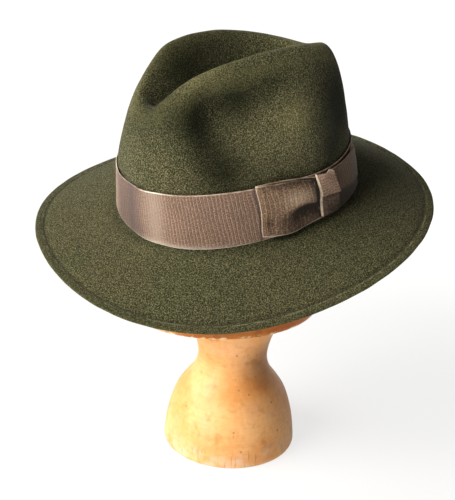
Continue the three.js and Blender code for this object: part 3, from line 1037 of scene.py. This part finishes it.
# The painted shade beside the knot: the degrees where it starts, high up, and where it is full
KNOT_SHADE_FROM = 101.8
KNOT_SHADE_FULL = 104.2
# The painted shade along the upper edge: how far below that edge it starts and is full, in mm
TOP_SHADE_FROM = 8.0
TOP_SHADE_FULL = 0.5
# How dark the painted shade on the loop's back is and up to which part of its width, and the face's
# unevenness, with the size of its patches in mm
LOOP_BACK_SHADE = 0.8
LOOP_BACK_UP_TO = 0.97
LOOP_UNEVEN_DARK = 0.34
LOOP_UNEVEN_SIZE = 1.6
# How pale the painted highlight on the round fold and the stitches are, and the lower selvedge, with its
# place and width
ROUND_FOLD_HIGHLIGHT = 0.6
STITCH_PALE = 0.75
LOOP_EDGE_PALE = (0.6, 0.0, 0.012)


def slope(shape, value):
    """A soft rise, given as how much, where it starts, and where it is full."""
    much, start, full = shape
    return much * ease(value, start, full)


def loop_relief(degrees, up, top):
    """How far the loop's face stands off its back: full above the crease, drawn in below it."""
    above = up - along_line(CREASE_LINE, degrees)
    creased = ease(degrees, *CREASE_DEEPENS)
    full = LOOP_PROUD + slope(LOOP_FILLS, degrees) + bulge(SWELLING, above) * creased
    full = full - LOOP_TOP_FALLS * ease(up, top - LOOP_TOP_TALL, top) * creased
    low = LOOP_LEAST + bulge(LIP, up)
    out = between(low, full, 1 - creased * (1 - ease(above, *CREASE_SIDE)))
    drawn = 1 - DRAWN * ease(degrees, DRAWN_FROM + slope(DRAWN_LEANS, up), DRAWN_FULL)
    return (out - soft_patch(DENT, degrees, up)) * drawn


loop_columns = LOOP_BACK_COLUMNS + LOOP_TURN_COLUMNS + LOOP_FACE_COLUMNS
loop, loop_u, loop_v = cloth_grid("bow_loop_cloth", loop_columns, LOOP_ROWS)
# The cloth runs left along the back, round the fold, and right along the face
loop_column = loop_u * loop_columns
share_back = np.clip(loop_column / LOOP_BACK_COLUMNS, 0, 1)
share_turn = np.clip((loop_column - LOOP_BACK_COLUMNS) / LOOP_TURN_COLUMNS, 0, 1)
share_face = np.clip((loop_column - LOOP_BACK_COLUMNS - LOOP_TURN_COLUMNS) / LOOP_FACE_COLUMNS, 0, 1)
on_face = share_face > 0
loop_inner = along_line(LOOP_LEFT, loop_v * LOOP_TALL) + LOOP_REACH
loop_degrees = LOOP_RIGHT + (loop_inner - LOOP_RIGHT) * share_back
loop_degrees = loop_degrees - np.sin(np.pi * share_turn) * LOOP_REACH
loop_degrees = loop_degrees + (LOOP_RIGHT - loop_inner) * share_face
loop_top = along_line(LOOP_HIGH, loop_degrees)
loop_top = loop_top - along_line(LOOP_SLIP, loop_degrees) * ease(share_face, 0.0, SLIP_FULL)
loop_up = between(along_line(LOOP_LOW, loop_degrees), loop_top, loop_v)
loop_run = LOOP_TURN_LONG * share_turn + LOOP_LONG * (share_face + share_back - 1)
loop_out = BOW_OUT + LOOP_ROUND * (1 - np.cos(np.pi * share_turn))
loop_out += ease(share_face, 0.0, PUFF_FULL) * loop_relief(loop_degrees, loop_up, loop_top)
loop_out += LOOP_RIBS * rib_height(loop_run + LOOP_RIB_START, loop_v * LOOP_WIDE, LOOP_WIDE) * on_face

# Painted shade on the loop: in its crease and dent, beside the knot, low down, along the top and on its
# back
dark_above = loop_up - along_line(CREASE_LINE, loop_degrees) - CREASE_DARK_ABOVE
dark_above = dark_above / np.where(dark_above > 0, CREASE_DARK_UP, CREASE_DARK_DOWN)
loop_painted_shade = ease(loop_degrees, *CREASE_DARKENS) * np.exp(-(np.abs(dark_above) ** 1.7))
loop_painted_shade += soft_patch(DENT_SHADE, loop_degrees, loop_up)
near_knot = (loop_degrees, KNOT_SHADE_FROM + slope(DRAWN_LEANS, loop_up), KNOT_SHADE_FULL)
near_top = (loop_up, loop_top - TOP_SHADE_FROM, loop_top - TOP_SHADE_FULL)
loop_painted_shade += soft_marks(
    [
        # Painted shade beside the knot, low down, and along the upper edge, most of all at its right
        (0.95, near_knot),
        (0.55, (loop_up, 23, 11), (loop_degrees, 84, 90)),
        (0.40, near_top),
        (0.40, near_top, (loop_degrees, 83, 98)),
    ]
)
back_painted_shade = LOOP_BACK_SHADE * (share_back < 1) * (loop_v < LOOP_BACK_UP_TO)
loop_painted_shade = np.where(on_face, loop_painted_shade, back_painted_shade)
loop_painted_shade += LOOP_UNEVEN_DARK * uneven(loop_run / LOOP_UNEVEN_SIZE, loop_up / LOOP_UNEVEN_SIZE, 2.2)
stitched = on_face * sum(soft_patch(stitch, loop_degrees, loop_up) for stitch in STITCHES)
loop_painted_shade = loop_painted_shade * np.clip(1 - stitched, 0, 1)
# Painted highlights on the round fold and on a lit patch of the face, with the pale selvedge and
# stitches
loop_pale_and_lit = ROUND_FOLD_HIGHLIGHT * np.sin(np.pi * share_turn) ** 0.5
loop_pale_and_lit += soft_patch(FACE_LIT, loop_degrees, loop_up)
loop_pale_and_lit += bulge(LOOP_EDGE_PALE, loop_v) * on_face
wrap_cloth(
    loop,
    on_wall(np.radians(loop_degrees), loop_up, loop_out),
    loop_run,
    loop_v * LOOP_WIDE,
    BOW_THICK,
    loop_pale_and_lit + STITCH_PALE * stitched,
    loop_painted_shade,
)
# The tuck tint is painted shade, and the palest tints painted highlights
LOOP_TINTS = {
    "deep": as_seen(144, 116, 94),
    "light": as_seen(160, 130, 104),
    "cord": as_seen(122, 93, 73),
    "gap": as_seen(66, 52, 40),
    "fleck": as_seen(208, 188, 158),
    "edge": as_seen(218, 200, 176),
    "rubbed_and_lit": as_seen(226, 208, 186),
    "tuck": as_seen(28, 22, 16),
}
loop_cloth = ribbon_finish("bow loop cloth", LOOP_WIDE, LOOP_TINTS)
dress(loop, "bow_loop", loop_cloth.material)


# Knot: a short strip of ribbon wrapped round the bow's middle and sewn behind.
# It is gathered as it goes round, so its top is crumpled and its lower half is tucked under.

KNOT_COLUMNS = 72
KNOT_ROWS = 76
KNOT_CROWD = 0.55
# The strip, in mm: its run, how far that leans, its width, and its height on the wall
KNOT_LONG = 44
KNOT_LEAN = 5
KNOT_WIDE = 22
KNOT_TALL = 41
# The knot's outline on the wall, given as the loop's is
KNOT_LEFT = [(5.6, 105.0), (14.8, 105.4), (23.3, 106.2), (35.3, 105.4), (42.1, 104.8)]
KNOT_RIGHT = [(2.7, 117.0), (9.1, 118.2), (17.7, 118.2), (27.7, 116.9), (37.4, 115.8)]
KNOT_LOW = [(104.0, 4.8), (108.0, 3.4), (113.0, 2.0), (118.5, 1.4)]
KNOT_HIGH = [(103.5, 41.5), (107.0, 41.0), (110.4, 40.2), (112.6, 42.6), (114.0, 41.2), (116.0, 38.6)]
# Where the knot's tuck runs: degrees, height, and the heights above it between which it rises
TUCK_LINE = [(104.0, 23.2), (107.0, 22.4), (112.0, 20.8), (118.0, 18.6)]
TUCK_SIDE = (-1.4, 0.8)
# How proud the knot is in mm: at its edges, above its tuck, and below it. Each has how much it changes
# from left to right.
KNOT_OUT = 1.5
KNOT_THIN = 0.6
KNOT_PROUD = 3.3
KNOT_RISES = 2.5
KNOT_UNDER = 2.6
KNOT_UNDER_FALLS = 0.7
# How far it falls back at its top and at its foot, and between which heights
KNOT_TOP_FALLS = (1.3, 36, 42)
KNOT_FOOT_FALLS = (0.8, 6, 1)
# How crumpled it is: all over, how much more at its top and between which heights, and below the tuck
CRUMPLE = 0.5
CRUMPLE_TOP = (1.0, 28, 40)
CRUMPLE_UNDER = 0.4
# The parts of its width over which its edges turn in
KNOT_LEFT_TURN = 0.045
KNOT_RIGHT_TURN = 0.12
# Its ribs, which slant: how far apart, how deep, and how far they lean
KNOT_RIB = 1.1
KNOT_RIB_DEEP = 0.16
KNOT_RIB_LEAN = 9
# How uneven its painted shade is, and between which parts of its width all its painted shade comes in
KNOT_UNEVEN_DARK = 0.42
KNOT_DARK_ACROSS = (0.02, 0.10)
# The painted shadow line under the tuck: how much, how far above the tuck's line, and how wide
TUCK_LINE_SHADOW = (0.18, -2.2, 1.6)
# The painted highlights on the left and right edges: how much, and their place and width across. The
# right one shows above the tuck only.
KNOT_LEFT_HIGHLIGHT = (0.40, 0.02, 0.025)
KNOT_RIGHT_HIGHLIGHT = (0.35, 0.95, 0.03)
HIGHLIGHT_ABOVE_TUCK = (0, 3)
# The pale top: how much, and between which heights
KNOT_TOP_PALE = (0.25, 37, 41)


def in_outline(left, right, low, high, tall, u, v):
    """The degrees and heights of a cloth's points, from the four sides of its outline on the wall."""
    degrees = between(along_line(left, v * tall), along_line(right, v * tall), u)
    return degrees, between(along_line(low, degrees), along_line(high, degrees), v)


knot, knot_u, knot_v = cloth_grid("bow_knot_cloth", KNOT_COLUMNS, KNOT_ROWS)
knot_u = crowd(knot_u, KNOT_CROWD)
knot_outline = (KNOT_LEFT, KNOT_RIGHT, KNOT_LOW, KNOT_HIGH)
knot_degrees, knot_up = in_outline(*knot_outline, KNOT_TALL, knot_u, knot_v)
tuck = knot_up - along_line(TUCK_LINE, knot_degrees)
crumple = uneven(knot_u * 2.2 + knot_v * 1.6, knot_v * 5.0 - knot_u * 1.4, 4.7)
knot_full = KNOT_PROUD + KNOT_RISES * knot_u + crumple * (CRUMPLE + slope(CRUMPLE_TOP, knot_up))
knot_full = knot_full - slope(KNOT_TOP_FALLS, knot_up)
knot_under = KNOT_UNDER - KNOT_UNDER_FALLS * knot_u + crumple * CRUMPLE_UNDER
knot_under = knot_under - slope(KNOT_FOOT_FALLS, knot_up)
knot_full = between(knot_under, knot_full, ease(tuck, *TUCK_SIDE))
left_turn = np.sin(np.pi / 2 * np.clip(knot_u / KNOT_LEFT_TURN, 0, 1))
right_turn = np.sin(np.pi / 2 * np.clip((1 - knot_u) / KNOT_RIGHT_TURN, 0, 1))
knot_out = BOW_OUT + KNOT_OUT + (knot_full - KNOT_THIN) * left_turn * right_turn
slant = knot_v * KNOT_LONG - knot_u * KNOT_RIB_LEAN
knot_out += KNOT_RIB_DEEP * np.abs(np.sin(np.pi * slant / KNOT_RIB))

knot_painted_shade = bulge(TUCK_LINE_SHADOW, tuck)
knot_painted_shade += soft_marks(
    [
        # Painted shade below the tuck, at the foot, and at the right
        (0.62, (tuck, 1.0, -1.6)),
        (0.30, (tuck, -5, -15), (knot_u, 0.1, 0.5)),
        (0.25, (knot_u, 0.80, 0.98)),
    ]
)
knot_painted_shade = knot_painted_shade * ease(knot_u, *KNOT_DARK_ACROSS)
knot_painted_shade += KNOT_UNEVEN_DARK * uneven(knot_u * 12 + knot_v * 9, knot_v * 24 - knot_u * 6, 3.3)
knot_pale_and_lit = bulge(KNOT_LEFT_HIGHLIGHT, knot_u) + slope(KNOT_TOP_PALE, knot_up)
knot_pale_and_lit += bulge(KNOT_RIGHT_HIGHLIGHT, knot_u) * ease(tuck, *HIGHLIGHT_ABOVE_TUCK)
wrap_cloth(
    knot,
    on_wall(np.radians(knot_degrees), knot_up, knot_out),
    knot_v * KNOT_LONG - knot_u * KNOT_LEAN,
    knot_u * KNOT_WIDE,
    BOW_THICK,
    knot_pale_and_lit,
    knot_painted_shade,
)
# The tuck tint is painted shade
KNOT_TINTS = {
    "deep": as_seen(160, 132, 112),
    "light": as_seen(178, 148, 126),
    "cord": as_seen(140, 112, 92),
    "gap": as_seen(100, 80, 66),
    "fleck": as_seen(214, 194, 170),
    "edge": as_seen(226, 208, 186),
    "rubbed_and_lit": as_seen(226, 208, 186),
    "tuck": as_seen(44, 35, 27),
}
knot_cloth = ribbon_finish("bow knot cloth", KNOT_WIDE, KNOT_TINTS)
dress(knot, "bow_knot", knot_cloth.material)


# Bow tail: the cut end of the bow's ribbon, of the same grosgrain, sewn down under the knot.
# It comes out behind the knot and lies flat round the side, and its lower half turns in a little.

TAIL_COLUMNS = 84
TAIL_ROWS = 36
# Its length, its woven width, and its height on the wall, in mm
TAIL_LONG = 41
TAIL_WIDE = 41.0
TAIL_TALL = 44
TAIL_RIB_START = 230
# The tail's outline on the wall, given as the loop's is
TAIL_LEFT = [(0.0, 116.0), (45.0, 113.0)]
TAIL_RIGHT = [(0.0, 144.0), (45.0, 141.8)]
TAIL_LOW = [(113.0, 1.6), (144.0, 1.2)]
TAIL_HIGH = [(113.0, 39.4), (144.0, 42.2)]
# Where the tail turns in: degrees, height
TURN_LINE = [(116.0, 18.0), (122.0, 16.4), (135.0, 11.5), (144.0, 9.0)]
# How proud the tail is in mm: at least, how much more above the turn and between which heights there,
# and a low swelling with its height and width
TAIL_OUT = 0.5
TURN_PROUD = (1.1, -3.5, 2.0)
TAIL_SWELLING = (0.4, 28, 9)
# How dark its painted shade is all over, and how much more below the turn, between which heights. How
# pale the painted rim light on its cut end is, and over which part of its length.
TAIL_SHADE = 0.58
TURN_SHADE = (0.40, 3.0, -3.0)
TAIL_END_RIM_LIGHT = (0.6, 0.975, 0.99)

tail, tail_u, tail_v = cloth_grid("bow_tail_cloth", TAIL_COLUMNS, TAIL_ROWS)
tail_outline = (TAIL_LEFT, TAIL_RIGHT, TAIL_LOW, TAIL_HIGH)
tail_degrees, tail_up = in_outline(*tail_outline, TAIL_TALL, tail_u, tail_v)
tail_over = tail_up - along_line(TURN_LINE, tail_degrees)
tail_run = TAIL_RIB_START + tail_u * TAIL_LONG
tail_out = BOW_OUT + TAIL_OUT + slope(TURN_PROUD, tail_over) + bulge(TAIL_SWELLING, tail_up)
tail_out += rib_height(tail_run, tail_v * TAIL_WIDE, TAIL_WIDE)
# Painted rim light at the cut end, and painted shade all over, more below the turn
wrap_cloth(
    tail,
    on_wall(np.radians(tail_degrees), tail_up, tail_out),
    tail_run,
    tail_v * TAIL_WIDE,
    BOW_THICK,
    slope(TAIL_END_RIM_LIGHT, tail_u),
    TAIL_SHADE + slope(TURN_SHADE, tail_over),
)
tail_cloth = ribbon_finish("bow tail cloth", TAIL_WIDE, LOOP_TINTS)
dress(tail, "bow_tail", tail_cloth.material)


# Table: the plain white top that the stand is set on, which glows a little, as a light table does.
# Far off it turns up into a low white wall, so that nothing but white lies behind the hat.
# It is part of the setting, not of the hat, and throws no light of its own back on the hat.

TABLE_SIZE = 24
TABLE_WALL = 3.0
TABLE_GLOW = 0.62
bpy.ops.object.select_all(action="DESELECT")
bpy.ops.mesh.primitive_plane_add(size=TABLE_SIZE)
table = bpy.context.object
table.name = "table_top"
bpy.ops.object.mode_set(mode="EDIT")
bpy.ops.mesh.select_mode(type="EDGE")
bpy.ops.mesh.select_all(action="SELECT")
bpy.ops.mesh.extrude_edges_move(TRANSFORM_OT_translate={"value": (0, 0, TABLE_WALL)})
bpy.ops.mesh.select_mode(type="VERT")
bpy.ops.object.mode_set(mode="OBJECT")
table.visible_diffuse = False
table.visible_shadow = False
table_paint = Finish("white table")
table_tone = table_paint.cloud(0.4, 0.4, 0.4, 2.0)
table_colour = table_paint.blend(table_tone, as_seen(136, 136, 135), as_seen(140, 140, 139))
table_paint.wear(table_colour, table_tone * 0.1 + 0.55)
table_paint.shine(
    {
        "Emission Color": (1, 1, 1, 1),
        "Emission Strength": TABLE_GLOW,
        "Specular IOR Level": 0.2,
    }
)
table.data.materials.append(table_paint.material)


# Light: a large soft window at the left of the picture, a second one nearer the camera, and a weak one
# far off at the right, in a room with pale walls. The windows are wide, so every shadow has a soft edge.
# The white table throws light up on the side of the hat and stand that faces the windows.

# The camera: degrees from the front over the left, degrees up, how far it is rolled, the point that it
# looks at, and how far away it is, in metres. The windows are placed from it.
CAMERA_TURN = math.radians(62)
CAMERA_RISE = math.radians(21)
CAMERA_ROLL = math.radians(3.0)
CAMERA_TARGET = Vector((0, 0, 0.1696))
CAMERA_AWAY = 0.742
# Each window: its direction across, up and towards the camera, its strength, and how many degrees wide
# it looks from the hat
WINDOWS = {
    "side window": ((-0.80, 0.50, 0.25), 2.2, 34),
    "front window": ((-0.65, 0.30, 0.70), 2.7, 34),
    "far window": ((0.50, 0.60, -0.75), 0.25, 40),
}
WINDOW_AWAY = 1.7
WINDOW_COLOUR = (1.0, 0.98, 0.94)
WALL_COLOUR = (1.0, 0.99, 0.97, 1)
WALL_LIGHT = 0.12
# The light from the table: how strong, the direction in degrees that most of it comes from, how far
# below the level it starts and is full, and how far towards that direction
FLOOR_LIGHT = 1.75
FLOOR_LIGHT_FROM = 47
FLOOR_LIGHT_BELOW = (-0.15, -0.40)
FLOOR_LIGHT_ROUND = (0.05, 0.60)

back = Vector(
    (
        math.sin(CAMERA_TURN) * math.cos(CAMERA_RISE),
        -math.cos(CAMERA_TURN) * math.cos(CAMERA_RISE),
        math.sin(CAMERA_RISE),
    )
)
right = Vector((math.cos(CAMERA_TURN), math.sin(CAMERA_TURN), 0))
up = back.cross(right)
rolled_right = right * math.cos(CAMERA_ROLL) + up * math.sin(CAMERA_ROLL)
rolled_up = up * math.cos(CAMERA_ROLL) - right * math.sin(CAMERA_ROLL)

for name, (way, strength, wide) in WINDOWS.items():
    window_data = bpy.data.lights.new(name, "SUN")
    window_data.angle = math.radians(wide)
    window_data.energy = strength
    window_data.color = WINDOW_COLOUR
    window = bpy.data.objects.new(name, window_data)
    towards = (rolled_right * way[0] + rolled_up * way[1] + back * way[2]).normalized()
    window.location = CAMERA_TARGET + towards * WINDOW_AWAY
    window.rotation_mode = "QUATERNION"
    window.rotation_quaternion = towards.to_track_quat("Z", "Y")
    bpy.context.scene.collection.objects.link(window)

walls = bpy.data.worlds.new("pale walls")
walls.use_nodes = True
walls.node_tree.nodes["Background"].inputs["Color"].default_value = WALL_COLOUR


class Walls(Finish):
    """The light from all round. Its nodes are added as a finish's are."""

    def __init__(self, world):
        self.tree = world.node_tree
        self.place = self.add("ShaderNodeTexCoord", {}, {}, "Generated")


room = Walls(walls)
room_left, room_back, room_up = room.parts(room.place)
floor_turn = math.radians(FLOOR_LIGHT_FROM)
facing = room_left * math.sin(floor_turn) - room_back * math.cos(floor_turn)
floor_light = room_up.rise(*FLOOR_LIGHT_BELOW) * facing.rise(*FLOOR_LIGHT_ROUND) * FLOOR_LIGHT
room.feed(walls.node_tree.nodes["Background"].inputs["Strength"], floor_light + WALL_LIGHT)
bpy.context.scene.world = walls


# Camera: it stands where the photograph was taken from, above the brim and before the bow,
# and is turned a little to one side, as it was held.

CAMERA_LENS = 61.85
CAMERA_SENSOR = 36
CAMERA_SHIFT = (-0.0196, 0.0247)

camera_data = bpy.data.cameras.new("photo camera")
camera_data.lens = CAMERA_LENS
camera_data.sensor_width = CAMERA_SENSOR
camera_data.shift_x, camera_data.shift_y = CAMERA_SHIFT
camera = bpy.data.objects.new("photo camera", camera_data)
turned = Matrix((rolled_right, rolled_up, back)).transposed().to_4x4()
camera.matrix_world = Matrix.Translation(CAMERA_TARGET + back * CAMERA_AWAY) @ turned
bpy.context.scene.collection.objects.link(camera)
bpy.context.scene.camera = camera
bpy.context.scene.view_settings.view_transform = "Standard"
bpy.context.scene.view_settings.look = "Medium High Contrast"
